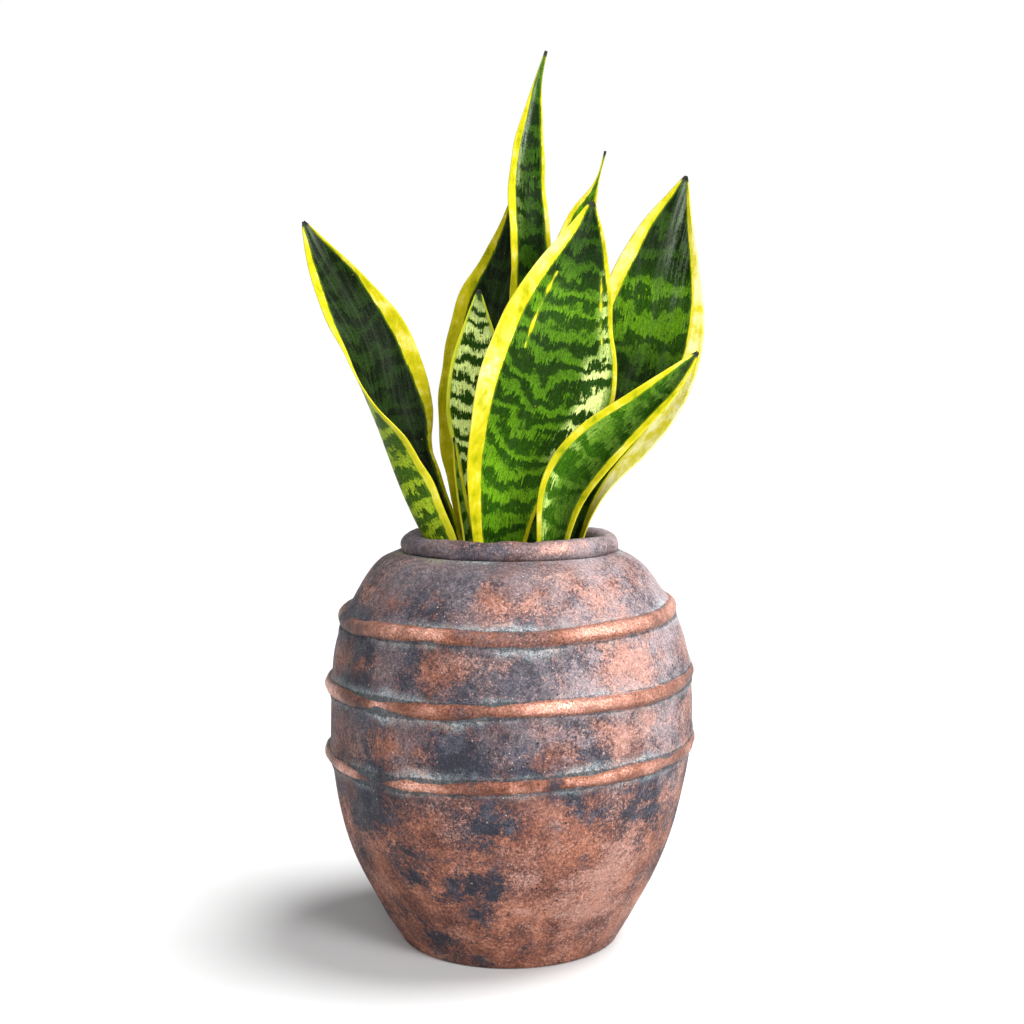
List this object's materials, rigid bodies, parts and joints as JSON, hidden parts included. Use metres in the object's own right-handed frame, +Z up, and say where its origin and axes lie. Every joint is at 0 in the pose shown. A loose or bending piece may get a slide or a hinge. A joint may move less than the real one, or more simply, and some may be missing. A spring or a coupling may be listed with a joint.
{
  "type": "round planter pot",
  "caption": "Bulbous round planter jar with a rolled rim and raised clay bands in an aged copper finish, holding a lift-out pot with a stiff-leaved plant.",
  "frame": {"origin": "centre of the planter's flat foot, on the surface it stands on", "axes": "+Z up through the mouth, -Y towards the front, +X to the right seen from the front"},
  "size_m": [0.2655, 0.2514, 0.5963],
  "materials": {
    "jar_clay": "gritty matt with a rubbed copper sheen",
    "rim_clay": "gritty matt with a rubbed copper sheen",
    "band_clay": "gritty, copper rubbed bright on the crest",
    "pot_plastic": "matt",
    "potting_mix": "loose bark and fibre",
    "rhizome": "waxy",
    "leaf": "waxy satin"
  },
  "bodies": {
    "planter": {"jar_body": "jar_clay", "rim_roll": "rim_clay", "band_upper": "band_clay", "band_middle": "band_clay", "band_lower": "band_clay"},
    "planting": {"nursery_pot": "pot_plastic", "potting_mix": "potting_mix", "rhizome": "rhizome", "leaf_front_broad": "leaf", "leaf_front_right": "leaf", "leaf_right_broad": "leaf", "leaf_tall": "leaf", "leaf_back_slim": "leaf", "leaf_back_left": "leaf", "leaf_left": "leaf", "leaf_young": "leaf", "leaf_sprout": "leaf"}
  },
  "joints": [
    {"name": "planting_lift", "type": "slide", "parent": "planter", "child": "planting", "axis": [0, 0, 1], "range_m": [0, 0.2]}
  ]
}
